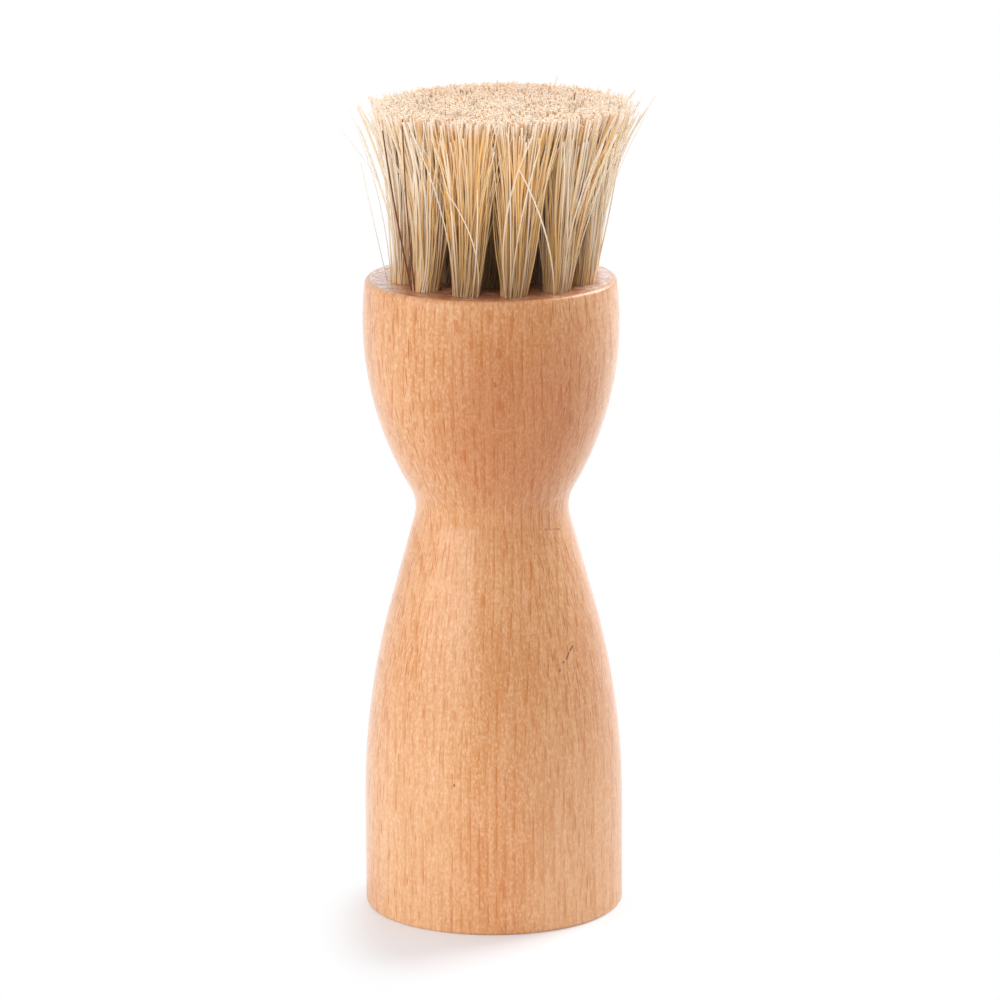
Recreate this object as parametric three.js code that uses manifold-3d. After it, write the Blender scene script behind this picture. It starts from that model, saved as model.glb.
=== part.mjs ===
// Shoe polish applicator brush: a turned beech handle that stands on its base, with tufts of
// light bristle stapled into blind holes drilled in its top face.
// Millimetres, +Z up, origin at the centre of the base.

import * as THREE from "three";
import { mergeVertices } from "three/addons/utils/BufferGeometryUtils.js";
import Module from "manifold-3d";

const wasm = await Module();
wasm.setup();

const { degToRad } = THREE.MathUtils;

// Handle: a straight foot, a long swell, a cone up to the waist, and a bowl that carries the tufts
const BASE_RADIUS = 19;
const HANDLE_HEIGHT = 94;
const FOOT_HEIGHT = 15.7;
const SWELL_ARC = 113;
const CONE_LEAN = degToRad(15.5);
const WAIST_ARC = 6.2;
const BOWL_RADIUS = 18.7;
const BOWL_WIDEST_AT = 87.7;
const BOWL_ARC = 48.8;
const BASE_EDGE_ROUND = 0.5;
const RIM_EDGE_ROUND = 0.8;
const HANDLE_SEGMENTS = 48;

// Bristle: three concentric rings of tufts, drilled to fan out and trimmed flat
const FREE_LENGTH = 25.5;
const RINGS = [
  { name: "centre", count: 1, radius: 0, lean: 0, phase: 0 },
  { name: "inner", count: 6, radius: 6.7, lean: degToRad(2.6), phase: degToRad(27) },
  { name: "outer", count: 12, radius: 13.3, lean: degToRad(4.6), phase: degToRad(12) },
];
const HOLE_RADIUS = 2.1;
const HOLE_DEPTH = 10;
const HOLE_SIDES = 12;
const CLEARANCE = 0.3;
const ROOT_RADIUS = HOLE_RADIUS - CLEARANCE;
const ROOT_TOP = -0.8;
const ROOT_SIDES = 8;
const STRANDS_PER_TUFT = 18;
const STRAND_RADIUS = 0.37;
const STRAND_SIDES = 3;
const STRAND_STEPS = 2;
const STRAND_SET_IN = 0.5;
const TIP_SPREAD = 2.1;
const FLARE_POWER = 2;

// Staple: a wire loop whose crown holds the fold of the tuft and whose legs are driven into the wood
const WIRE_RADIUS = 0.25;
const LOOP_RADIUS = 1;
const CROWN_DEPTH = 7.6;
const LEG_BITE = 3;
const WIRE_SIDES = 5;
const WIRE_STEPS = 8;

const BEECH = { color: 0xd9a06c, roughness: 0.45, metalness: 0 };
const BRISTLE = { color: 0xd8b98a, roughness: 0.6, metalness: 0 };
const WIRE = { color: 0xb9bcc0, roughness: 0.35, metalness: 1 };

// A closed geometry as a solid that can be joined and cut.
function toSolid(geometry) {
  const bare = geometry.clone();
  bare.deleteAttribute("normal");
  bare.deleteAttribute("uv");
  const merged = mergeVertices(bare, 1e-4);
  const corners = merged.index.array;
  const triVerts = [];
  for (let i = 0; i < corners.length; i += 3) {
    const [a, b, c] = corners.subarray(i, i + 3);
    // A lathe's faces collapse where the profile meets the axis.
    if (a !== b && b !== c && c !== a) triVerts.push(a, b, c);
  }
  return new wasm.Manifold(
    new wasm.Mesh({
      numProp: 3,
      vertProperties: new Float32Array(merged.attributes.position.array),
      triVerts: new Uint32Array(triVerts),
    }),
  );
}

// A solid as a geometry for a mesh.
function toGeometry(solid) {
  const { vertProperties, triVerts } = solid.getMesh();
  const geometry = new THREE.BufferGeometry();
  geometry.setAttribute("position", new THREE.BufferAttribute(vertProperties, 3));
  geometry.setIndex(new THREE.BufferAttribute(triVerts, 1));
  geometry.computeVertexNormals();
  return geometry;
}

function namedMesh(name, geometry, finish) {
  const mesh = new THREE.Mesh(geometry, new THREE.MeshStandardMaterial(finish));
  mesh.name = name;
  return mesh;
}

// Points along an arc. Angles are in radians from the radial direction.
function arc(centre, radius, from, to, steps, clockwise = false) {
  const curve = new THREE.EllipseCurve(centre.x, centre.y, radius, radius, from, to, clockwise);
  return curve.getPoints(steps);
}

// The handle's outline from the centre of the base to the centre of the top face, as (radius, height).
// Each stretch is tangent to the next.
function handleProfile() {
  const baseRound = new THREE.Vector2(BASE_RADIUS - BASE_EDGE_ROUND, BASE_EDGE_ROUND);
  const swell = new THREE.Vector2(BASE_RADIUS - SWELL_ARC, FOOT_HEIGHT);
  const bowl = new THREE.Vector2(BOWL_RADIUS - BOWL_ARC, BOWL_WIDEST_AT);

  // The cone leaves the swell at its lean, and the waist arc touches both the cone and the bowl.
  const outward = new THREE.Vector2(Math.cos(CONE_LEAN), Math.sin(CONE_LEAN));
  const upward = new THREE.Vector2(-outward.y, outward.x);
  const coneFoot = swell.clone().addScaledVector(outward, SWELL_ARC);
  const waist = coneFoot.clone().addScaledVector(outward, WAIST_ARC);
  const apart = waist.clone().sub(bowl);
  const along = apart.dot(upward);
  const reach = BOWL_ARC + WAIST_ARC;
  waist.addScaledVector(upward, -along - Math.sqrt(along ** 2 - apart.lengthSq() + reach ** 2));
  const bowlMeetsWaist = waist.clone().sub(bowl).angle() - 2 * Math.PI;

  // The rim's round sits inside the bowl's arc and under the flat top face.
  const rimHeight = HANDLE_HEIGHT - RIM_EDGE_ROUND - BOWL_WIDEST_AT;
  const rimReach = Math.sqrt((BOWL_ARC - RIM_EDGE_ROUND) ** 2 - rimHeight ** 2);
  const rimRound = new THREE.Vector2(bowl.x + rimReach, bowl.y + rimHeight);
  const bowlMeetsRim = Math.atan2(rimHeight, rimReach);

  return [
    new THREE.Vector2(0, 0),
    ...arc(baseRound, BASE_EDGE_ROUND, -Math.PI / 2, 0, 3),
    ...arc(swell, SWELL_ARC, 0, CONE_LEAN, 7),
    ...arc(waist, WAIST_ARC, Math.PI + CONE_LEAN, Math.PI + bowlMeetsWaist, 5, true),
    ...arc(bowl, BOWL_ARC, bowlMeetsWaist, bowlMeetsRim, 10).slice(1),
    ...arc(rimRound, RIM_EDGE_ROUND, bowlMeetsRim, Math.PI / 2, 3).slice(1),
    new THREE.Vector2(0, HANDLE_HEIGHT),
  ];
}

// A wire loop on its legs, in the frame of a tuft's hole: Z runs out of the hole, from its mouth.
function stapleGeometry(wireRadius, legLength) {
  const shoulder = -CROWN_DEPTH - LOOP_RADIUS;
  const foot = shoulder - legLength;
  const loop = new THREE.Path();
  loop.moveTo(LOOP_RADIUS, foot);
  loop.lineTo(LOOP_RADIUS, shoulder);
  loop.absarc(0, shoulder, LOOP_RADIUS, 0, Math.PI);
  loop.lineTo(-LOOP_RADIUS, foot);
  const route = new THREE.CatmullRomCurve3(
    loop.getSpacedPoints(WIRE_STEPS).map((point) => new THREE.Vector3(0, point.x, point.y)),
    false,
    "catmullrom",
    0,
  );
  const section = new THREE.Shape();
  for (let side = 0; side < WIRE_SIDES; side++) {
    const angle = (2 * Math.PI * side) / WIRE_SIDES;
    const corner = new THREE.Vector2(Math.cos(angle), Math.sin(angle)).multiplyScalar(wireRadius);
    if (side === 0) section.moveTo(corner.x, corner.y);
    else section.lineTo(corner.x, corner.y);
  }
  return new THREE.ExtrudeGeometry(section, { steps: WIRE_STEPS, extrudePath: route });
}

const LEG_LENGTH = HOLE_DEPTH + LEG_BITE - CROWN_DEPTH - LOOP_RADIUS;

// The room that the wire takes up in the wood and in the fold of the tuft.
function stapleRoom() {
  return toSolid(stapleGeometry(WIRE_RADIUS + CLEARANCE, LEG_LENGTH + CLEARANCE));
}

// Where the strands of a tuft leave its root: a sunflower spiral, which spaces them evenly.
function strandSections() {
  const goldenAngle = Math.PI * (3 - Math.sqrt(5));
  const reach = ROOT_RADIUS - STRAND_RADIUS;
  const sections = [];
  for (let strand = 0; strand < STRANDS_PER_TUFT; strand++) {
    const radius = reach * Math.sqrt((strand + 0.5) / (STRANDS_PER_TUFT - 0.5));
    const bearing = strand * goldenAngle;
    const section = new THREE.Shape();
    for (let side = 0; side < STRAND_SIDES; side++) {
      const angle = bearing + (2 * Math.PI * side) / STRAND_SIDES;
      const x = radius * Math.cos(bearing) + STRAND_RADIUS * Math.cos(angle);
      const y = radius * Math.sin(bearing) + STRAND_RADIUS * Math.sin(angle);
      if (side === 0) section.moveTo(x, y);
      else section.lineTo(x, y);
    }
    sections.push(section);
  }
  return sections;
}

// Strands that fan out from the root and are cut off level, although the hole leans. Every level
// holds a scaled copy of the root's pattern, so no strand crosses another.
function strandGeometry(lean) {
  const geometry = new THREE.ExtrudeGeometry(strandSections(), {
    depth: 1,
    steps: STRAND_STEPS,
    bevelEnabled: false,
  });
  const points = geometry.attributes.position;
  const point = new THREE.Vector3();
  const foot = ROOT_TOP - STRAND_SET_IN;
  for (let i = 0; i < points.count; i++) {
    point.fromBufferAttribute(points, i);
    const share = point.z;
    const spread = 1 + (TIP_SPREAD - 1) * share ** FLARE_POWER;
    const level = foot + (FREE_LENGTH - foot) * share;
    const x = point.x * spread;
    const y = point.y * spread;
    points.setXYZ(i, x, y, (level + x * Math.sin(lean)) / Math.cos(lean));
  }
  return geometry;
}

// One tuft: a root packed into its hole, folded round the staple, and the strands that rise from it.
function tuftGeometry(lean) {
  const length = HOLE_DEPTH - CLEARANCE + ROOT_TOP;
  const root = new THREE.CylinderGeometry(ROOT_RADIUS, ROOT_RADIUS, length, ROOT_SIDES);
  root.rotateX(Math.PI / 2);
  root.translate(0, 0, ROOT_TOP - length / 2);
  const folded = toSolid(root).subtract(stapleRoom());
  return toGeometry(folded.add(toSolid(strandGeometry(lean))));
}

// What is cut from the handle for one tuft: its drilled hole and the two holes that the legs bite.
function holeSolid() {
  const overshoot = 1;
  const length = HOLE_DEPTH + overshoot;
  const drill = new THREE.CylinderGeometry(HOLE_RADIUS, HOLE_RADIUS, length, HOLE_SIDES);
  drill.rotateX(Math.PI / 2);
  drill.translate(0, 0, overshoot - length / 2);
  return toSolid(drill).add(stapleRoom());
}

// A frame at the mouth of each hole, its Z along the drilled axis, inside a group turned to its place.
function holeFrame(ring, index) {
  const turned = new THREE.Group();
  turned.rotation.z = ring.phase + (2 * Math.PI * index) / ring.count;
  const mouth = new THREE.Group();
  mouth.position.set(ring.radius, 0, HANDLE_HEIGHT);
  mouth.rotation.y = ring.lean;
  turned.add(mouth);
  return { turned, mouth };
}

function buildBrush() {
  const brush = new THREE.Group();
  const staple = stapleGeometry(WIRE_RADIUS, LEG_LENGTH);
  const hole = holeSolid();
  const turning = new THREE.LatheGeometry(handleProfile(), HANDLE_SEGMENTS);
  turning.rotateX(Math.PI / 2);
  let handle = toSolid(turning);

  for (const ring of RINGS) {
    const tuft = tuftGeometry(ring.lean);
    for (let index = 0; index < ring.count; index++) {
      const place = ring.count === 1 ? ring.name : `${ring.name}_${String(index + 1).padStart(2, "0")}`;
      const { turned, mouth } = holeFrame(ring, index);
      mouth.add(namedMesh(`tuft_${place}`, tuft, BRISTLE));
      mouth.add(namedMesh(`staple_${place}`, staple, WIRE));
      brush.add(turned);
      turned.updateMatrixWorld(true);
      handle = handle.subtract(hole.transform(mouth.matrixWorld.elements));
    }
  }
  brush.add(namedMesh("handle", toGeometry(handle), BEECH));
  return brush;
}

export default buildBrush();
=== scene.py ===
import math
from collections import namedtuple

import bpy
import numpy as np
from mathutils import Matrix, Vector, geometry


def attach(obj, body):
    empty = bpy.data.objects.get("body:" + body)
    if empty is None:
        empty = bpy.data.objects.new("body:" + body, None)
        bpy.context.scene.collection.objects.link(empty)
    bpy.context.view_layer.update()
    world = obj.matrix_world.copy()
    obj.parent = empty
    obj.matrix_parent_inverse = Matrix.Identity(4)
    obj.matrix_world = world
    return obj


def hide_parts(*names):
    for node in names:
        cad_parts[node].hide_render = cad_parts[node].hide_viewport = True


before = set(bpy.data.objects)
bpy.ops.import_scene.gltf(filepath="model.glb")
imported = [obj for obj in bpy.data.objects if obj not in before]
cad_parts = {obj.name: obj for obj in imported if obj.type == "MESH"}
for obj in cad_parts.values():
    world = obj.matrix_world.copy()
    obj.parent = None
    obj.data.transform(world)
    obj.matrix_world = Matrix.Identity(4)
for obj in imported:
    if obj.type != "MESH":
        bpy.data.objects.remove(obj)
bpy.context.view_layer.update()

MM = 0.001

# Handle sizes, in metres. The outline is a foot, a swell, a cone, a waist and a bowl.
BASE_RADIUS = 19 * MM
HANDLE_HEIGHT = 94 * MM
FOOT_HEIGHT = 15.7 * MM
SWELL_ARC = 113 * MM
CONE_LEAN = math.radians(15.5)
WAIST_ARC = 6.2 * MM
BOWL_RADIUS = 18.7 * MM
BOWL_WIDEST_AT = 87.7 * MM
BOWL_ARC = 48.8 * MM
BASE_EDGE_ROUND = 0.5 * MM
RIM_EDGE_ROUND = 0.8 * MM
TURNING_SIDES = 192
SHARP_ANGLE = math.radians(40)
SAME_POINT = 1e-9

# Holes, in rings. Angles run anticlockwise from +X, seen from above.
Ring = namedtuple("Ring", "name count radius lean phase")
TuftPlace = namedtuple("TuftPlace", "name mouth outward sideways drilled")
HOLE_RADIUS = 2.05 * MM
HOLE_DEPTH = 10 * MM
HOLE_SIDES = 40
MOUTH_ROUND = 0.15 * MM
DRILLED_OFF_CENTRE = 0.5 * MM
RINGS = [
    Ring("centre", count=1, radius=0.0, lean=0.0, phase=0.0),
    Ring("inner", count=6, radius=6.7 * MM, lean=math.radians(2.6), phase=math.radians(27)),
    Ring("outer", count=12, radius=13.3 * MM, lean=math.radians(4.6), phase=math.radians(12)),
]

# Hairs of a tuft. Those in its middle are packed and thicken towards the tip, and the open ones taper.
HAIRS_PER_TUFT = 420
HAIR_SEED = 100
HAIR_SIDES = 5
HAIR_STEPS = 11
HAIR_RADIUS = 0.097 * MM
THICKNESS_SPREAD = 0.2
PACKED_SHARE = 0.72
PACKED_TIP = 1.45
OPEN_TIP = 0.70
BRIGHT_SHARE = 0.07
BRIGHT_THICKNESS = 1.15

# Shape of a tuft. It is round in its hole, and its tips fill a share of the head.
GOLDEN_ANGLE = math.pi * (3 - math.sqrt(5))
FREE_LENGTH = 25.5 * MM
HAIR_SET_IN = 3.0 * MM
TUFT_ROOT_RADIUS = 1.95 * MM
TIP_REACH_OUTWARD = 1.8 * MM
TIP_REACH_INWARD = 3.1 * MM
TIP_REACH_SIDEWAYS = 4.3 * MM
TIP_SQUARENESS = 4
BEARING_SCATTER = 0.8
LOCKS_PER_TUFT = 20
LOCK_SCATTER = 0.25 * MM
TIP_SCATTER = (0.90 * MM, 0.95 * MM)
STRAY_SHARE = 0.18
STRAY_GAIN = 2.4
OUTSIDE_SPREAD = 0.7 * MM
OUTSIDE_SPREAD_LIMIT = 2.4 * MM
FLARE_POWER = (1.2, 2.2)
BOW = 0.38 * MM
WAVE = 0.14 * MM
HEAD_LEAN = 1.2 * MM
HEAD_LEAN_POWER = 0.6
TRIM_SCATTER = 0.09 * MM
SHORT_SHARE = 0.04
SHORT_SHARE_AT_EDGE = 0.12
SHORT_SHARE_OUTSIDE = 0.4
SHORT_BY = (0.2 * MM, 4.2 * MM)

# Tones of the hairs. Tufts on the left and right of the head are painted paler, most of all on the
# outside: painted backlight. Packed hairs are painted darker and open ones lighter: painted shade and
# light.
DARK = 0.0
CROSSING = 0.85
PALE = 1.0
TONE_MEAN = 0.50
TONE_SPREAD = 0.10
TONE_LIMITS = (0.2, 0.98)
PACKED_SHADE_SHIFT = -0.06
OPEN_LIGHT_SHIFT = 0.10
SIDE_LIGHT_AT_LEAST = 0.45
SIDE_BACKLIGHT = 0.25
OUTSIDE_BACKLIGHT = 0.65
PACKED_BACKLIGHT = 0.8
OPEN_BACKLIGHT = 1.1
SINGLE_BACKLIGHT = 0.1

# Hairs that stand out: tuft, tone, thickness, and the places in millimetres of root, middle and tip
SINGLE_HAIRS = [
    ("outer_08", DARK, 1.7, (-10.7, -9.8, 90.9), (-14.0, -9.2, 108.0), (-15.3, -10.4, 117.4)),
    ("outer_08", DARK, 1.4, (-10.6, -9.9, 90.9), (-12.1, -11.5, 109.5), (-12.4, -14.2, 119.7)),
    ("outer_11", CROSSING, 1.4, (8.9, -11.8, 91.0), (6.8, -17.4, 106.9), (4.1, -18.8, 113.2)),
    ("outer_11", CROSSING, 1.4, (10.2, -11.3, 91.0), (13.4, -13.1, 109.7), (17.3, -12.5, 118.4)),
    ("outer_10", CROSSING, 1.2, (2.6, -14.8, 91.0), (5.1, -17.3, 109.0), (7.1, -18.7, 116.6)),
    ("outer_10", CROSSING, 1.5, (2.7, -14.8, 91.0), (3.7, -18.0, 112.0), (6.0, -19.1, 117.9)),
    ("outer_10", CROSSING, 1.1, (2.7, -14.8, 91.0), (2.8, -17.9, 109.6), (2.6, -20.2, 119.3)),
    ("outer_09", CROSSING, 1.2, (-2.6, -14.0, 91.0), (-3.5, -16.6, 104.9), (-6.2, -16.8, 109.7)),
    ("outer_09", CROSSING, 1.2, (-5.0, -13.9, 90.9), (-8.0, -15.7, 110.1), (-11.0, -16.6, 118.1)),
    ("outer_09", CROSSING, 1.5, (-4.6, -14.0, 90.9), (-5.5, -16.1, 106.3), (-6.1, -17.7, 115.3)),
    ("outer_09", CROSSING, 1.1, (-3.0, -14.4, 91.0), (-1.9, -17.0, 103.6), (-1.8, -18.2, 110.1)),
    ("outer_07", PALE, 0.55, (-14.2, -3.6, 91.0), (-17.0, -4.9, 104.0), (-18.6, -5.4, 112.0)),
    ("outer_07", PALE, 0.55, (-14.4, -3.4, 91.0), (-17.2, -5.3, 111.0), (-21.4, -5.8, 116.7)),
    ("outer_07", PALE, 0.55, (-14.3, -3.0, 91.0), (-16.9, -5.2, 110.0), (-20.1, -6.0, 119.7)),
    ("outer_12", PALE, 0.55, (13.8, -4.8, 91.0), (17.6, -6.2, 108.5), (22.5, -7.0, 119.3)),
]

# The hairs' flat map, as shares of a hair's strip and of the map's height
STRIP_MARGIN = 0.1
WALL_MARGIN = 0.01
CAP_HALF_HEIGHT = 0.004

# Wood, in millimetres
HEART = (-62.0, -14.0, 0.0)
RING_WIDTH = 1.4
RING_SWAY = 5.0
BAR_RADIUS = 16.0
SAWN_ANGLE = math.radians(35)
FLECK_EDGE = (0.31, 0.17)
PATCH_EDGE = (20.0, 5.0)
PATCH_SHAPE = (1.0, 1.0, 0.75)
# Patches of painted shade on the front, in the bowl partly the wood's own darker tone: middle in
# millimetres and the shade it multiplies by
SHADE_AND_TONE_PATCHES = [
    ((5.0, -17.0, 75.0), (228, 202, 182)),
    ((9.0, -13.0, 34.0), (244, 237, 230)),
    ((2.0, -18.0, 4.0), (247, 238, 230)),
]

# Marks on the wood, each from one place to another in millimetres
MARK_CORE = 0.3
DARK_MARKS = [
    ((11.0, -11.9, 40.7), (10.7, -12.4, 39.9)),
    ((11.6, -11.1, 41.5), (11.2, -11.6, 41.0)),
    ((10.3, -12.8, 39.6), (10.2, -12.9, 39.5)),
    ((9.7, -13.5, 38.6), (9.7, -13.6, 38.4)),
    ((-5.7, -17.9, 22.6), (-5.7, -17.9, 22.4)),
]
TOOL_MARKS = [
    ((0.5, -18.4, 82.3), (0.6, -18.3, 81.7)),
    ((8.3, -7.5, 60.6), (8.3, -7.9, 58.3)),
    ((7.6, -8.5, 58.3), (9.8, -6.2, 57.8)),
    ((9.1, -7.6, 56.9), (9.6, -7.4, 55.9)),
]
PALE_MARKS = [
    ((0.1, -17.1, 75.3), (2.0, -16.8, 74.8)),
    ((2.0, -16.8, 74.8), (4.1, -16.6, 75.3)),
    ((4.0, -10.5, 60.0), (4.0, -10.7, 58.2)),
    ((10.5, -4.7, 58.1), (10.5, -5.7, 56.6)),
]
AMBER_MARKS = [
    ((-0.3, -18.4, 92.6), (-0.2, -18.6, 91.3)),
    ((1.0, -18.7, 87.1), (1.1, -18.6, 86.3)),
    ((-5.0, -17.9, 91.0), (-4.6, -18.1, 89.8)),
]

# Colours of the wood, in sRGB
WOOD_LIGHT = (226, 169, 119)
WOOD_DEEP = (217, 157, 106)
FIBRE_PALE = (245, 199, 162)
MOTTLE_PALE = (245, 198, 163)
GRAIN_BROWN = (206, 137, 64)
PORE_BROWN = (199, 120, 40)
LATHE_BROWN = (199, 122, 48)
STREAK_AMBER = (207, 120, 52)
RING_BROWN = (197, 114, 32)
FLECK_BROWN = (189, 102, 20)
SCRATCH_BROWN = (100, 46, 16)
TOOL_BROWN = (160, 92, 52)
MARK_PALE = (244, 204, 160)
MARK_AMBER = (200, 98, 44)
FOOT_PAINTED_SHEEN = (255, 222, 182)
CUT_FRONT_SHADE = [(226, 152, 108), (196, 116, 76)]
CUT_ENDS_REFLECTION = [(255, 236, 232), (250, 220, 212)]
SAWN_PALE = (255, 222, 200)
SAWN_DARK = (150, 80, 48)
CUT_RING = (204, 146, 118)
PIT_BROWN = (178, 108, 76)

# Colours of the hair and the wire, in sRGB
HAIR_GOLD = (253, 192, 104)
HAIR_STRAW = (255, 206, 128)
HAIR_CREAM = (255, 228, 187)
HAIR_WHITE = (255, 241, 222)
HAIR_DARK = (112, 54, 30)
HAIR_SHEEN = (255, 230, 194)
OUTER_ROOT_SHADE = (130, 86, 38)
INNER_ROOT_SHADE = (72, 28, 10)
CUT_END_SHADE = (240, 196, 150)
CUT_END_PALE = (255, 239, 223)
WIRE_GREY = (150, 150, 150)
WIRE_BRIGHT = (205, 206, 208)

# Light. The studio is white, apart from a darker front that shows only in reflections.
WORLD_LIGHT = 0.74
DARK_FRONT = 0.25
DARK_FRONT_EDGE = (-0.9, -0.3)
LAMP_TARGET = (0.0, 0.0, 0.06)
SOFTBOX_PLACE = (-0.80, -0.65, 0.36)
SOFTBOX_SIZE = (1.1, 0.55)
SOFTBOX_POWER = 5.6
RIM_LAMP_PLACE = (0.72, 0.68, 0.90)
RIM_LAMP_SIZE = (0.6, 0.9)
RIM_LAMP_POWER = 10.5

# Floor, in metres
FLOOR_HALF = 3.0
FLOOR_LIFT = 0.04
FLOOR_GLOW = 0.06
PAPER = (0.88, 0.88, 0.88, 1.0)
TABLE = (0.10, 0.10, 0.10, 1.0)
PAPER_EDGE = -0.25
PAPER_EDGE_FADE = 0.04
SHADOW_MIDDLE = (-0.002, -0.014, 0.0)
SHADOW_SHAPE = (1.7, 1.0, 1.0)
SHADOW_EDGE = (0.022, 0.042)
SHADOW_PAPER = (0.89, 0.89, 0.915, 1.0)

# Camera
LENS = 213.5
SENSOR_WIDTH = 36
CLIP_START = 0.05
CLIP_END = 50
CAMERA_PLACE = (1.15 * MM, -844 * MM, 263.8 * MM)
CAMERA_PITCH = math.radians(13.53)
CAMERA_ROLL = math.radians(0.30)


# Meshes

def mesh_object(name, points, faces, material):
    """A smooth object with sharp edges where its faces meet at more than the sharp angle."""
    mesh = bpy.data.meshes.new(name)
    mesh.from_pydata(points, [], faces)
    mesh.validate()
    mesh.polygons.foreach_set("use_smooth", [True] * len(mesh.polygons))
    mesh.set_sharp_from_angle(angle=SHARP_ANGLE)
    mesh.materials.append(material)
    piece = bpy.data.objects.new(name, mesh)
    bpy.context.scene.collection.objects.link(piece)
    return piece


def arc(centre, radius, start, end, steps):
    angles = np.linspace(start, end, steps + 1)
    return [(centre[0] + radius * math.cos(a), centre[1] + radius * math.sin(a)) for a in angles]


def straight(start, end, steps):
    shares = np.linspace(0, 1, steps + 1)
    return [(start[0] + (end[0] - start[0]) * s, start[1] + (end[1] - start[1]) * s) for s in shares]


def bridge(faces, lower, upper):
    """Quads between two closed loops of point indices of the same length."""
    count = len(lower)
    for i in range(count):
        j = (i + 1) % count
        faces.append((lower[i], lower[j], upper[j], upper[i]))


# Handle

def handle_profile():
    """The side of the handle, from the base's edge to the top face's edge, as (radius, height)."""
    base_round = (BASE_RADIUS - BASE_EDGE_ROUND, BASE_EDGE_ROUND)
    swell = (BASE_RADIUS - SWELL_ARC, FOOT_HEIGHT)
    bowl = Vector((BOWL_RADIUS - BOWL_ARC, BOWL_WIDEST_AT))
    outward = Vector((math.cos(CONE_LEAN), math.sin(CONE_LEAN)))
    upward = Vector((-outward.y, outward.x))

    # The cone is as long as it takes for the waist to touch the bowl.
    cone_foot = Vector(swell) + outward * SWELL_ARC
    apart = cone_foot + outward * WAIST_ARC - bowl
    along = apart.dot(upward)
    reach = BOWL_ARC + WAIST_ARC
    cone_length = -along - math.sqrt(along ** 2 - apart.length_squared + reach ** 2)
    cone_top = cone_foot + upward * cone_length
    waist = cone_top + outward * WAIST_ARC

    bowl_start = math.atan2(waist.y - bowl.y, waist.x - bowl.x)
    rim_height = HANDLE_HEIGHT - RIM_EDGE_ROUND - BOWL_WIDEST_AT
    rim_reach = math.sqrt((BOWL_ARC - RIM_EDGE_ROUND) ** 2 - rim_height ** 2)
    bowl_end = math.atan2(rim_height, rim_reach)
    rim_round = (bowl.x + rim_reach, bowl.y + rim_height)
    quarter = math.pi / 2
    return (
        arc(base_round, BASE_EDGE_ROUND, -quarter, 0, steps=6)
        + straight((BASE_RADIUS, BASE_EDGE_ROUND), (BASE_RADIUS, FOOT_HEIGHT), steps=12)[1:]
        + arc(swell, SWELL_ARC, 0, CONE_LEAN, steps=24)[1:]
        + straight(cone_foot, cone_top, steps=10)[1:]
        + arc(waist, WAIST_ARC, math.pi + CONE_LEAN, math.pi + bowl_start, steps=14)[1:]
        + arc(bowl, BOWL_ARC, bowl_start, bowl_end, steps=34)[1:]
        + arc(rim_round, RIM_EDGE_ROUND, bowl_end, quarter, steps=8)[1:]
    )


def tuft_places():
    """Each tuft's name, its hole's mouth, and its outward, sideways and drilled directions."""
    upward = np.array((0.0, 0.0, 1.0))
    places = []
    for ring in RINGS:
        for index in range(ring.count):
            name = ring.name if ring.count == 1 else f"{ring.name}_{index + 1:02d}"
            turn = ring.phase + 2 * math.pi * index / ring.count
            outward = np.array((math.cos(turn), math.sin(turn), 0.0))
            sideways = np.array((-math.sin(turn), math.cos(turn), 0.0))
            mouth = outward * ring.radius + upward * HANDLE_HEIGHT
            mouth[0] += DRILLED_OFF_CENTRE
            drilled = outward * math.sin(ring.lean) + upward * math.cos(ring.lean)
            places.append(TuftPlace(name, mouth, outward, sideways, drilled))
    return places


def hole_rings(place):
    """Rings of points down one blind hole, from its rounded mouth to its floor."""
    turns = np.linspace(0, 2 * math.pi, HOLE_SIDES, endpoint=False)
    stretch = 1 / place.drilled[2]
    half_round = 0.3 * MOUTH_ROUND
    stations = [(0.0, MOUTH_ROUND), (half_round, half_round), (MOUTH_ROUND, 0.0)]
    stations += [(HOLE_DEPTH * share, 0.0) for share in (0.2, 0.6, 1.0)]
    rings = []
    for depth, widening in stations:
        radius = HOLE_RADIUS + widening
        ring = [
            place.mouth
            + place.outward * (radius * stretch * math.cos(turn))
            + place.sideways * (radius * math.sin(turn))
            - place.drilled * (depth * stretch)
            for turn in turns
        ]
        rings.append(ring)
    return rings


def drilled_face(points, rim, mouths):
    """Triangles of the top face, between its edge and the mouths of the holes."""
    loops = [rim] + mouths
    flat = [index for loop in loops for index in loop]
    owner = [number for number, loop in enumerate(loops) for _ in loop]
    edges = []
    first = 0
    for loop in loops:
        edges += [(first + i, first + (i + 1) % len(loop)) for i in range(len(loop))]
        first += len(loop)
    spots = [Vector(points[index][:2]) for index in flat]
    triangles = geometry.delaunay_2d_cdt(spots, edges, [], 0, SAME_POINT, False)[2]
    faces = []
    for corners in triangles:
        owners = {owner[corner] for corner in corners}
        if len(owners) > 1 or owners == {0}:
            faces.append(tuple(flat[corner] for corner in corners))
    return faces


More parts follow.
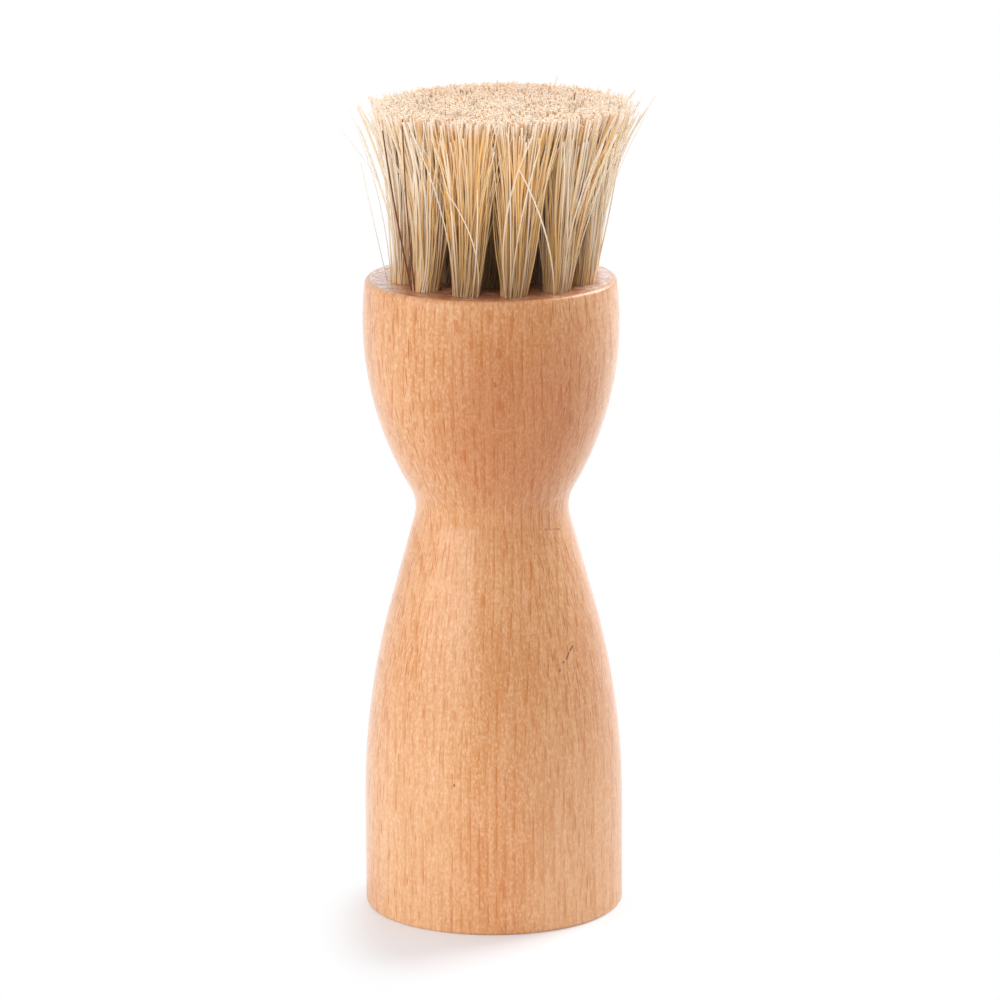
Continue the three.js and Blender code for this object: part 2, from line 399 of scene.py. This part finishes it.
def make_handle(side_grain, cut_grain):
    """The turned side, and the base, the holes and the drilled face, which cut across the grain."""
    points = []
    faces = []

    def add_loop(loop):
        first = len(points)
        points.extend(tuple(point) for point in loop)
        return list(range(first, first + len(loop)))

    turns = np.linspace(0, 2 * math.pi, TURNING_SIDES, endpoint=False)
    loops = []
    for radius, height in handle_profile():
        loops.append(add_loop([(radius * math.cos(a), radius * math.sin(a), height) for a in turns]))
    for lower, upper in zip(loops, loops[1:]):
        bridge(faces, lower, upper)
    side_faces = len(faces)
    faces.append(tuple(reversed(loops[0])))

    mouths = []
    for place in tuft_places():
        rings = [add_loop(ring) for ring in hole_rings(place)]
        for upper, lower in zip(rings, rings[1:]):
            bridge(faces, upper, lower)
        faces.append(tuple(rings[-1]))
        mouths.append(rings[0])
    faces += drilled_face(points, loops[-1], mouths)

    piece = mesh_object("turned_handle", points, faces, side_grain)
    piece.data.materials.append(cut_grain)
    cut = [0] * side_faces + [1] * (len(faces) - side_faces)
    piece.data.polygons.foreach_set("material_index", cut)
    return piece


# Hair

def hair_paths(place, rng, count):
    """Centre lines of one tuft's hairs, as an array of hairs by steps by XYZ, and how far each one stands
    on the outside of the head, from 0 to 1."""
    index = np.arange(count)
    radius = np.sqrt((index + 0.5) / count)
    bearing = index * GOLDEN_ANGLE + rng.uniform(0, BEARING_SCATTER, count)
    unit = np.stack((radius * np.cos(bearing), radius * np.sin(bearing)), axis=1)
    root = unit * TUFT_ROOT_RADIUS

    # Towards the tips a tuft fills its share of the head, which is squarer than its hole.
    squared = np.abs(np.cos(bearing)) ** TIP_SQUARENESS + np.abs(np.sin(bearing)) ** TIP_SQUARENESS
    corner = squared[:, None] ** (-1 / TIP_SQUARENESS)
    outside = np.clip(unit[:, 0], 0, 1) * ("outer" in place.name)
    reach = np.where(outside > 0, TIP_REACH_OUTWARD, TIP_REACH_INWARD)
    tip = unit * corner * np.stack((reach, np.full(count, TIP_REACH_SIDEWAYS)), axis=1)

    # Hairs go in locks, and some of them stray.
    lock_place = rng.uniform(-1, 1, (LOCKS_PER_TUFT, 2))
    lock = np.argmin(np.linalg.norm(unit[:, None] - lock_place[None], axis=2), axis=1)
    tip += rng.normal(0, LOCK_SCATTER, (LOCKS_PER_TUFT, 2))[lock]
    stray = np.where(rng.uniform(0, 1, count) < STRAY_SHARE, STRAY_GAIN, 1.0)
    tip += rng.normal(0, 1, (count, 2)) * stray[:, None] * TIP_SCATTER

    # On the outside of the head, hairs stand apart from each other.
    tip[:, 0] += outside * np.minimum(rng.exponential(OUTSIDE_SPREAD, count), OUTSIDE_SPREAD_LIMIT)
    power = rng.uniform(*FLARE_POWER, count)[:, None]
    bow = rng.normal(0, BOW, (count, 2))
    wave = rng.normal(0, WAVE, (count, 2))

    # The head is trimmed level. Some hairs fall short, most of all around the outside of a tuft.
    short_share = SHORT_SHARE + SHORT_SHARE_AT_EDGE * radius ** 4 + SHORT_SHARE_OUTSIDE * outside
    short = rng.uniform(0, 1, count) < short_share
    trim = rng.normal(0, TRIM_SCATTER, count) - np.where(short, rng.uniform(*SHORT_BY, count), 0)

    paths = np.zeros((count, HAIR_STEPS, 3))
    for k, step in enumerate(np.linspace(-HAIR_SET_IN / FREE_LENGTH, 1, HAIR_STEPS)):
        share = max(step, 0.0)
        flare = share ** power
        offset = root * (1 - flare) + tip * flare + bow * math.sin(math.pi * share)
        offset += wave * math.sin(2 * math.pi * share)
        height = step * (FREE_LENGTH + trim)
        leaning = place.drilled * (1, 1, 0) * share + (0, 0, place.drilled[2])
        point = place.mouth + height[:, None] * leaning / place.drilled[2]
        point = point + offset[:, :1] * place.outward + offset[:, 1:] * place.sideways
        point[:, 0] += HEAD_LEAN * share ** HEAD_LEAN_POWER
        paths[:, k] = point
    return paths, outside


def path_through(places):
    """A smooth path through three places, with its steps spread evenly over its height."""
    corners = np.array(places) * MM
    heights = np.linspace(corners[0, 2], corners[2, 2], HAIR_STEPS)
    bends = [np.polyfit(corners[:, 2], corners[:, axis], 2) for axis in range(2)]
    return np.stack((np.polyval(bends[0], heights), np.polyval(bends[1], heights), heights), axis=1)


def hair_tubes(paths, radii):
    """Points and faces of closed tubes along the paths: first all walls, then all tips, then all roots."""
    count, steps, _ = paths.shape
    tangent = np.gradient(paths, axis=1)
    tangent /= np.linalg.norm(tangent, axis=2, keepdims=True)
    side = np.cross(tangent, np.array((1.0, 0.0, 0.0)))
    side /= np.linalg.norm(side, axis=2, keepdims=True)
    other = np.cross(tangent, side)
    turns = np.linspace(0, 2 * math.pi, HAIR_SIDES, endpoint=False)
    circle = side[:, :, None] * np.cos(turns)[:, None] + other[:, :, None] * np.sin(turns)[:, None]
    points = paths[:, :, None] + circle * radii[:, :, None, None]

    index = np.arange(count * steps * HAIR_SIDES).reshape(count, steps, HAIR_SIDES)
    following = np.roll(index, -1, axis=2)
    quads = np.stack((index[:, :-1], following[:, :-1], following[:, 1:], index[:, 1:]), axis=-1)
    faces = [tuple(quad) for quad in quads.reshape(-1, 4).tolist()]
    faces += [tuple(cap) for cap in index[:, -1].tolist()]
    faces += [tuple(reversed(cap)) for cap in index[:, 0].tolist()]
    return points.reshape(-1, 3), faces


def map_hairs(piece, tones):
    """A flat map on which every hair has a strip of its own, in the order of the tones."""
    count = len(tones)
    strip = np.argsort(np.argsort(tones))[:, None]
    across = (strip + np.linspace(STRIP_MARGIN, 1 - STRIP_MARGIN, HAIR_SIDES + 1)) / count
    up = np.linspace(WALL_MARGIN, 1 - WALL_MARGIN, HAIR_STEPS)
    walls = np.zeros((count, HAIR_STEPS - 1, HAIR_SIDES, 4, 2))
    for corner, (right, above) in enumerate(((0, 0), (1, 0), (1, 1), (0, 1))):
        walls[..., corner, 0] = across[:, None, right:right + HAIR_SIDES]
        walls[..., corner, 1] = up[None, above:above + HAIR_STEPS - 1, None]

    # The caps lie in the margins above and below the walls.
    turns = np.linspace(0, 2 * math.pi, HAIR_SIDES, endpoint=False)
    cap = np.zeros((count, HAIR_SIDES, 2))
    cap[..., 0] = (strip + 0.5 + (0.5 - STRIP_MARGIN) * np.cos(turns)) / count
    cap[..., 1] = CAP_HALF_HEIGHT * np.sin(turns)
    tips = cap + (0, 1 - WALL_MARGIN / 2)
    roots = cap + (0, WALL_MARGIN / 2)
    corners = np.concatenate([part.reshape(-1, 2) for part in (walls, tips, roots)])
    flat = piece.data.uv_layers.new(name="OFBake")
    flat.uv.foreach_set("vector", corners.astype(np.float32).ravel())


def store(piece, name, values):
    """Keeps one value for each point of a piece, for its material to read."""
    layer = piece.data.attributes.new(name, "FLOAT", "POINT")
    layer.data.foreach_set("value", values)


def make_tuft(place, number, material):
    """One tuft, with the single hairs that stand out in it."""
    rng = np.random.default_rng(HAIR_SEED + number)
    paths, outside = hair_paths(place, rng, HAIRS_PER_TUFT)
    packed = np.arange(HAIRS_PER_TUFT) < PACKED_SHARE * HAIRS_PER_TUFT

    # How far the tuft stands on the left or right of the head decides how pale it is painted, a painted
    # backlight that is stronger on the outside and on open hairs.
    on_side = abs(place.outward[0]) ** 3
    pale = (SIDE_BACKLIGHT + OUTSIDE_BACKLIGHT * outside) * on_side
    pale = pale * np.where(packed, PACKED_BACKLIGHT, OPEN_BACKLIGHT)
    thickness = np.exp(rng.normal(0, THICKNESS_SPREAD, HAIRS_PER_TUFT))
    tones = np.clip(rng.normal(TONE_MEAN, TONE_SPREAD, HAIRS_PER_TUFT), *TONE_LIMITS)
    # Packed hairs are painted darker, painted shade, and open ones lighter, painted light; hairs of the
    # tufts on the sides of the head are kept light, painted light.
    tones += np.where(packed, PACKED_SHADE_SHIFT, OPEN_LIGHT_SHIFT)
    tones = np.maximum(tones, SIDE_LIGHT_AT_LEAST * on_side)
    bright = rng.uniform(0, 1, HAIRS_PER_TUFT) < BRIGHT_SHARE
    thickness = np.where(bright, BRIGHT_THICKNESS, thickness)
    tones = np.where(bright, PALE, tones)

    for tuft, tone, gain, *route in SINGLE_HAIRS:
        if tuft == place.name:
            paths = np.append(paths, [path_through(route)], axis=0)
            packed = np.append(packed, False)
            pale = np.append(pale, SINGLE_BACKLIGHT)
            thickness = np.append(thickness, gain)
            tones = np.append(tones, tone)

    along = np.linspace(0, 1, HAIR_STEPS)
    growth = np.where(packed, PACKED_TIP, OPEN_TIP)[:, None] - 1
    radii = HAIR_RADIUS * thickness[:, None] * (1 + growth * along)
    points, faces = hair_tubes(paths, radii)
    piece = mesh_object(f"hair_{place.name}", points.tolist(), faces, material)
    map_hairs(piece, tones)
    points_per_hair = HAIR_STEPS * HAIR_SIDES
    store(piece, "tone", np.repeat(tones, points_per_hair))
    store(piece, "along", np.tile(np.repeat(along, HAIR_SIDES), len(tones)))
    store(piece, "pale", np.repeat(pale, points_per_hair))
    store(piece, "inside", np.full(len(points), 0.0 if "outer" in place.name else 1.0))
    return piece


# Shader nodes

def srgb(red, green, blue):
    """A colour given as 0 to 255 in sRGB, as linear RGBA."""
    def linear(value):
        value /= 255
        return value / 12.92 if value <= 0.04045 else ((value + 0.055) / 1.055) ** 2.4
    return (linear(red), linear(green), linear(blue), 1.0)


def new_material(name):
    material = bpy.data.materials.new(name)
    material.use_nodes = True
    material.node_tree.nodes.clear()
    return material, material.node_tree


def add(tree, kind, inputs=None, **settings):
    """A new node. Inputs are values, or the sockets that feed them."""
    made = tree.nodes.new(kind)
    for key, value in settings.items():
        setattr(made, key, value)
    for key, value in (inputs or {}).items():
        if isinstance(value, bpy.types.NodeSocket):
            tree.links.new(value, made.inputs[key])
        else:
            made.inputs[key].default_value = value
    return made


def maths(tree, operation, first, second=0.0, third=0.0):
    made = add(tree, "ShaderNodeMath", {0: first, 1: second, 2: third}, operation=operation)
    return made.outputs[0]


def vectors(tree, operation, first, second=(0, 0, 0), third=(0, 0, 0)):
    made = add(tree, "ShaderNodeVectorMath", {0: first, 1: second, 2: third}, operation=operation)
    gives_number = operation in ("LENGTH", "DISTANCE", "DOT_PRODUCT")
    return made.outputs["Value" if gives_number else "Vector"]


def scaled(tree, vector, scale):
    return vectors(tree, "MULTIPLY", vector, scale)


def part_of(tree, vector, axis):
    return add(tree, "ShaderNodeSeparateXYZ", {0: vector}).outputs[axis]


def remap(tree, value, low, high, to_low=0.0, to_high=1.0):
    """A smooth step between two levels as the value goes from low to high."""
    inputs = {"Value": value, "From Min": low, "From Max": high, "To Min": to_low, "To Max": to_high}
    made = add(tree, "ShaderNodeMapRange", inputs, interpolation_type="SMOOTHSTEP")
    return made.outputs["Result"]


def mix(tree, share, first, second, blend="MIX"):
    inputs = {0: share, 6: first, 7: second}
    made = add(tree, "ShaderNodeMix", inputs, data_type="RGBA", blend_type=blend)
    return made.outputs[2]


def noise(tree, place, scale, detail=2.0):
    """Noise that is scaled along each axis."""
    inputs = {"Vector": scaled(tree, place, scale), "Scale": 1.0, "Detail": detail}
    return add(tree, "ShaderNodeTexNoise", inputs).outputs["Fac"]


def tinted(tree, colour, layers):
    """A colour under layers, each a pattern, where it starts and is full, its strength and its shade."""
    for pattern, start, full, strength, shade in layers:
        colour = mix(tree, remap(tree, pattern, start, full, 0.0, strength), colour, srgb(*shade))
    return colour


def surface(tree, inputs):
    shader = add(tree, "ShaderNodeBsdfPrincipled", inputs)
    add(tree, "ShaderNodeOutputMaterial", {"Surface": shader.outputs[0]})


# Wood

def place_in_mm(tree):
    return scaled(tree, add(tree, "ShaderNodeTexCoord").outputs["Object"], (1000, 1000, 1000))


def drawn_onto_bar(tree, place):
    """Places drawn out onto a round bar, on which a pattern keeps its size all around and follows the
    turned outline."""
    around = vectors(tree, "NORMALIZE", scaled(tree, place, (1, 1, 0)))
    upright = scaled(tree, place, (0, 0, 1))
    return vectors(tree, "MULTIPLY_ADD", around, (BAR_RADIUS,) * 3, upright)


def growth_rings(tree, place, sharpness):
    """Rings around the heart of the tree, which lay to the left of the handle. Each rises to its end."""
    apart = scaled(tree, vectors(tree, "SUBTRACT", place, HEART), (1, 1, 0))
    sway = noise(tree, place, (0.03, 0.03, 0.012))
    distance = maths(tree, "MULTIPLY_ADD", sway, RING_SWAY, vectors(tree, "LENGTH", apart))
    ring = maths(tree, "FRACT", maths(tree, "MULTIPLY", distance, 1 / RING_WIDTH))
    return maths(tree, "POWER", ring, sharpness)


def ray_flecks(tree, on_bar, width, height, shift):
    """Ends of the wood's rays: upright dashes of about this width and height, of varied strength."""
    across = sum(FLECK_EDGE)
    cell = scaled(tree, on_bar, (across / width, across / width, across / height))
    cell = vectors(tree, "ADD", cell, (shift,) * 3)
    cells = add(tree, "ShaderNodeTexVoronoi", {"Vector": cell, "Scale": 1.0})
    strength = add(tree, "ShaderNodeSeparateColor", {0: cells.outputs["Color"]}).outputs[0]
    fleck = remap(tree, cells.outputs["Distance"], *FLECK_EDGE)
    return maths(tree, "MULTIPLY", fleck, strength)


def marks(tree, place, segments, width):
    """How much a place belongs to one of some short straight marks of this width in millimetres."""
    share = 0.0
    for start, end in segments:
        along = Vector(end) - Vector(start)
        apart = vectors(tree, "SUBTRACT", place, start)
        reach = vectors(tree, "DOT_PRODUCT", apart, along / along.length_squared)
        reach = add(tree, "ShaderNodeClamp", {0: reach}).outputs[0]
        distance = vectors(tree, "DISTANCE", apart, scaled(tree, along, reach))
        share = maths(tree, "MAXIMUM", share, remap(tree, distance, width, MARK_CORE * width))
    return share


def beech():
    """Turned beech under a satin lacquer."""
    material, tree = new_material("beech")
    place = place_in_mm(tree)
    on_bar = drawn_onto_bar(tree, place)

    # How far round the surface faces left or right, where the rays show their ends
    side = maths(tree, "MULTIPLY", part_of(tree, on_bar, "X"), 1 / BAR_RADIUS)
    side = maths(tree, "ABSOLUTE", side)

    # Growth rings, each ending in a thin darker line that comes and goes
    broken = noise(tree, place, (1.3, 1.3, 0.28), detail=3.0)
    ring = growth_rings(tree, place, sharpness=4.0)
    ring = maths(tree, "MULTIPLY", ring, remap(tree, broken, 0.38, 0.66))

    fine = ray_flecks(tree, on_bar, width=0.19, height=1.5, shift=0.0)
    coarse = ray_flecks(tree, on_bar, width=0.23, height=2.8, shift=31.0)
    fleck = maths(tree, "MAXIMUM", fine, coarse)
    fleck = maths(tree, "MULTIPLY", fleck, remap(tree, side, 0.15, 0.75, 0.15, 1.0))

    fibre = noise(tree, on_bar, (2.6, 2.6, 0.09), detail=5.0)
    pores = noise(tree, on_bar, (8.0, 8.0, 0.9))
    lathe = noise(tree, on_bar, (0.25, 0.25, 4.0))
    cloud = noise(tree, place, (0.12, 0.12, 0.04))
    mottle = noise(tree, on_bar, (4.0, 4.0, 1.8))
    amber = noise(tree, on_bar, (1.1, 1.1, 0.22))

    colour = mix(tree, remap(tree, cloud, 0.3, 0.7), srgb(*WOOD_LIGHT), srgb(*WOOD_DEEP))
    colour = tinted(tree, colour, (
        (fibre, 0.42, 0.68, 0.30, FIBRE_PALE),
        (fibre, 0.50, 0.32, 0.20, GRAIN_BROWN),
        (mottle, 0.50, 0.70, 0.55, MOTTLE_PALE),
        (mottle, 0.50, 0.30, 0.50, GRAIN_BROWN),
        (pores, 0.52, 0.70, 0.40, PORE_BROWN),
        (lathe, 0.52, 0.75, 0.20, LATHE_BROWN),
        (amber, 0.60, 0.74, 0.60, STREAK_AMBER),
    ))

    # Lines and marks over the ground, each with its strength
    scratch = marks(tree, place, DARK_MARKS, width=0.22)
    for mark, strength, shade in (
        (ring, 0.9, RING_BROWN),
        (fleck, 1.0, FLECK_BROWN),
        (scratch, 0.75, SCRATCH_BROWN),
        (marks(tree, place, TOOL_MARKS, width=0.24), 0.5, TOOL_BROWN),
        (marks(tree, place, PALE_MARKS, width=0.18), 0.3, MARK_PALE),
        (marks(tree, place, AMBER_MARKS, width=0.6), 0.4, MARK_AMBER),
    ):
        colour = mix(tree, maths(tree, "MULTIPLY", mark, strength), colour, srgb(*shade))

    # Darker, redder patches in the middle of the bowl, on the right of the swell and at the foot: painted
    # shade on the front, in the bowl partly the wood's own darker tone
    for centre, shade in SHADE_AND_TONE_PATCHES:
        apart = scaled(tree, vectors(tree, "SUBTRACT", place, centre), PATCH_SHAPE)
        patch = remap(tree, vectors(tree, "LENGTH", apart), *PATCH_EDGE)
        colour = mix(tree, patch, colour, srgb(*shade), "MULTIPLY")

    # The foot is paler to either side of its middle: painted sheen.
    pale = remap(tree, part_of(tree, place, "Z"), 45.0, 10.0, 0.0, 0.16)
    pale = maths(tree, "MULTIPLY", pale, remap(tree, side, 0.1, 0.5))
    pale = maths(tree, "MULTIPLY", pale, remap(tree, side, 1.0, 0.8))
    colour = mix(tree, pale, colour, srgb(*FOOT_PAINTED_SHEEN))

    relief = maths(tree, "MULTIPLY_ADD", fleck, -0.7, maths(tree, "ADD", fibre, pores))
    relief = maths(tree, "SUBTRACT", relief, scratch)
    bump = add(tree, "ShaderNodeBump", {"Strength": 0.5, "Distance": 0.06 * MM, "Height": relief})
    surface(tree, {
        "Base Color": colour,
        "Roughness": remap(tree, fibre, 0.3, 0.8, 0.36, 0.48),
        "Specular IOR Level": 0.25,
        "Coat Weight": 1.0,
        "Coat IOR": 1.33,
        "Coat Roughness": 0.25,
        "Normal": bump.outputs[0],
    })
    return material


def end_grain():
    """The drilled face, the holes and the base, cut across the fibres: pitted and sawn. The drilled face
    is paler at its left and right ends, a painted reflection, and browner between, painted shade."""
    material, tree = new_material("end_grain")
    place = place_in_mm(tree)
    ring = growth_rings(tree, place, sharpness=3.0)
    pits = noise(tree, place, (2.2, 1.1, 4.0), detail=3.0)
    cloud = noise(tree, place, (0.5, 0.5, 0.5), detail=3.0)
    turned = add(tree, "ShaderNodeVectorRotate", {0: place, "Angle": SAWN_ANGLE}, rotation_type="Z_AXIS")
    sawn = noise(tree, turned.outputs[0], (0.35, 1.5, 1.0), detail=3.0)
    side = maths(tree, "ABSOLUTE", part_of(tree, place, "X"))

    # Far to the left and right the cut wood is pale and pinkish, a painted reflection of the bright
    # studio; nearer the middle it is browner, painted shade.
    clouded = remap(tree, cloud, 0.3, 0.7)
    front = mix(tree, clouded, *[srgb(*shade) for shade in CUT_FRONT_SHADE])
    ends = mix(tree, clouded, *[srgb(*shade) for shade in CUT_ENDS_REFLECTION])
    colour = mix(tree, remap(tree, side, 11.0, 16.5), front, ends)
    colour = tinted(tree, colour, (
        (sawn, 0.54, 0.66, 0.6, SAWN_PALE),
        (sawn, 0.50, 0.36, 0.7, SAWN_DARK),
    ))
    colour = mix(tree, maths(tree, "MULTIPLY", ring, 0.35), colour, srgb(*CUT_RING))
    colour = tinted(tree, colour, ((pits, 0.50, 0.62, 0.7, PIT_BROWN),))

    relief = maths(tree, "ADD", pits, sawn)
    bump = add(tree, "ShaderNodeBump", {"Strength": 0.6, "Distance": 0.12 * MM, "Height": relief})
    surface(tree, {
        "Base Color": colour,
        "Roughness": remap(tree, pits, 0.3, 0.7, 0.50, 0.65),
        "Coat Weight": 1.0,
        "Coat Roughness": 0.30,
        "Normal": bump.outputs[0],
    })
    return material


# Bristle and wire

def bristle():
    """Undyed bristle with pale cut ends, browner towards the root with painted shade, and lighter towards
    the tips and on the sides of the head with painted light.
    """
    material, tree = new_material("bristle")

    def stored(name):
        return add(tree, "ShaderNodeAttribute", attribute_name=name).outputs["Fac"]

    tone = stored("tone")
    along = stored("along")
    pale = stored("pale")
    inside = stored("inside")

    # Painted light: the pale share, a painted backlight on the sides of the head that grows towards the
    # tips, and a lightening of all hairs towards their tips.
    lighter = maths(tree, "MULTIPLY_ADD", pale, remap(tree, along, -0.1, 0.6), tone)
    lighter = maths(tree, "ADD", lighter, remap(tree, along, 0.35, 0.85, 0.0, 0.17))
    ramp = add(tree, "ShaderNodeValToRGB", {"Fac": lighter})
    stops = ramp.color_ramp.elements
    stops[0].position = 0.25
    stops[0].color = srgb(*HAIR_GOLD)
    stops[1].position = PALE
    stops[1].color = srgb(*HAIR_WHITE)
    stops.new(0.5).color = srgb(*HAIR_STRAW)
    stops.new(0.85).color = srgb(*HAIR_CREAM)

    # Roots are in the shade of other hairs, deepest in the middle of the head.
    root = maths(tree, "MULTIPLY_ADD", inside, 0.27, 0.62)
    root = maths(tree, "MULTIPLY", root, remap(tree, along, 0.05, 0.85, 1.0, 0.0))
    root = maths(tree, "MULTIPLY", root, remap(tree, pale, 0.0, 0.6, 1.0, 0.3))
    root_shade = mix(tree, inside, srgb(*OUTER_ROOT_SHADE), srgb(*INNER_ROOT_SHADE))
    colour = mix(tree, root, ramp.outputs[0], root_shade)

    # The cut ends are pale; those of the darker hairs are tan, painted shade that stands in for the
    # shadows between the tips.
    cut = mix(tree, remap(tree, tone, 0.27, 0.37), srgb(*CUT_END_SHADE), srgb(*CUT_END_PALE))
    colour = mix(tree, remap(tree, along, 0.90, 1.0, 0.0, 0.9), colour, cut)
    colour = mix(tree, remap(tree, tone, DARK, DARK + 0.1), srgb(*HAIR_DARK), colour)
    surface(tree, {
        "Base Color": colour,
        "Roughness": 0.45,
        "Specular IOR Level": 0.25,
        "Sheen Weight": 1.0,
        "Sheen Roughness": 0.4,
        "Sheen Tint": srgb(*HAIR_SHEEN),
    })
    return material


def drawn_wire():
    """Bright wire with fine streaks."""
    material, tree = new_material("drawn_wire")
    streak = noise(tree, place_in_mm(tree), (9.0, 9.0, 0.9), detail=3.0)
    surface(tree, {
        "Base Color": mix(tree, streak, srgb(*WIRE_GREY), srgb(*WIRE_BRIGHT)),
        "Metallic": 1.0,
        "Roughness": remap(tree, streak, 0.2, 0.8, 0.25, 0.45),
    })
    return material


# Stage

def floor_paper():
    """White paper that shows the object's shadow near it and is plain white further off. It ends a little
    in front of the object, out of the picture, on a dark table."""
    material, tree = new_material("floor_paper")
    place = add(tree, "ShaderNodeTexCoord").outputs["Object"]

    # What the picture shows
    apart = scaled(tree, vectors(tree, "SUBTRACT", place, SHADOW_MIDDLE), SHADOW_SHAPE)
    away = remap(tree, vectors(tree, "LENGTH", apart), *SHADOW_EDGE)
    shadowed = add(tree, "ShaderNodeBsdfDiffuse", {"Color": SHADOW_PAPER})
    lift = add(tree, "ShaderNodeEmission", {"Strength": FLOOR_LIFT})
    near = add(tree, "ShaderNodeAddShader", {0: shadowed.outputs[0], 1: lift.outputs[0]})
    white = add(tree, "ShaderNodeEmission", {"Strength": 1.0})
    far = add(tree, "ShaderNodeMixShader", {0: away, 1: near.outputs[0], 2: white.outputs[0]})

    # What lights the object and shows in its gloss
    on_paper = remap(tree, part_of(tree, place, "Y"), PAPER_EDGE - PAPER_EDGE_FADE, PAPER_EDGE)
    paper = add(tree, "ShaderNodeBsdfDiffuse", {"Color": mix(tree, on_paper, TABLE, PAPER)})
    glow = add(tree, "ShaderNodeEmission", {"Strength": FLOOR_GLOW})
    lit = add(tree, "ShaderNodeAddShader", {0: paper.outputs[0], 1: glow.outputs[0]})

    path = add(tree, "ShaderNodeLightPath")
    shown = maths(tree, "MAXIMUM", path.outputs["Is Camera Ray"], path.outputs["Is Transmission Ray"])
    seen = add(tree, "ShaderNodeMixShader", {0: shown, 1: lit.outputs[0], 2: far.outputs[0]})
    add(tree, "ShaderNodeOutputMaterial", {"Surface": seen.outputs[0]})
    return material


def make_floor():
    half = FLOOR_HALF
    corners = [(-half, -half, 0), (half, -half, 0), (half, half, 0), (-half, half, 0)]
    floor = mesh_object("floor", corners, [(0, 1, 2, 3)], floor_paper())


def make_world():
    """A white studio, which shows at full white and lights the object a little less."""
    world = bpy.data.worlds.new("studio")
    world.use_nodes = True
    bpy.context.scene.world = world
    tree = world.node_tree
    path = add(tree, "ShaderNodeLightPath")
    shown = maths(tree, "MAXIMUM", path.outputs["Is Camera Ray"], path.outputs["Is Glossy Ray"])
    shown = maths(tree, "MAXIMUM", shown, path.outputs["Is Transmission Ray"])
    direction = add(tree, "ShaderNodeTexCoord").outputs["Generated"]
    level = remap(tree, part_of(tree, direction, "Y"), *DARK_FRONT_EDGE, DARK_FRONT, 1.0)
    inputs = {0: shown, 2: WORLD_LIGHT, 3: level}
    strength = add(tree, "ShaderNodeMix", inputs, data_type="FLOAT").outputs[0]
    strength = maths(tree, "MAXIMUM", strength, path.outputs["Is Camera Ray"])
    background = tree.nodes["Background"]
    background.inputs["Color"].default_value = (1, 1, 1, 1)
    tree.links.new(strength, background.inputs["Strength"])


def area_lamp(name, place, size, power):
    lamp = bpy.data.lights.new(name, "AREA")
    lamp.shape = "RECTANGLE"
    lamp.size, lamp.size_y = size
    lamp.energy = power
    made = bpy.data.objects.new(name, lamp)
    made.location = place
    made.rotation_euler = (Vector(LAMP_TARGET) - Vector(place)).to_track_quat("-Z", "Y").to_euler()
    bpy.context.scene.collection.objects.link(made)


def make_camera():
    camera = bpy.data.cameras.new("camera")
    camera.lens = LENS
    camera.sensor_width = SENSOR_WIDTH
    camera.clip_start = CLIP_START
    camera.clip_end = CLIP_END
    made = bpy.data.objects.new("camera", camera)
    made.location = CAMERA_PLACE
    tilted = Matrix.Rotation(math.pi / 2 - CAMERA_PITCH, 3, "X")
    rolled = Matrix.Rotation(-CAMERA_ROLL, 3, "Z")
    made.rotation_euler = (tilted @ rolled).to_euler()
    bpy.context.scene.collection.objects.link(made)
    bpy.context.scene.camera = made


make_camera()
make_world()
make_floor()
area_lamp("left_softbox", SOFTBOX_PLACE, SOFTBOX_SIZE, SOFTBOX_POWER)
area_lamp("right_rim", RIM_LAMP_PLACE, RIM_LAMP_SIZE, RIM_LAMP_POWER)
bpy.context.scene.view_settings.view_transform = "Standard"

handle = make_handle(beech(), end_grain())
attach(handle, "root")
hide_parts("handle")

hair = bristle()
for number, place in enumerate(tuft_places()):
    tuft = make_tuft(place, number, hair)
    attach(tuft, "root")
    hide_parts(f"tuft_{place.name}")

wire = drawn_wire()
for name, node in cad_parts.items():
    if name.startswith("staple_"):
        node.data.materials.clear()
        node.data.materials.append(wire)
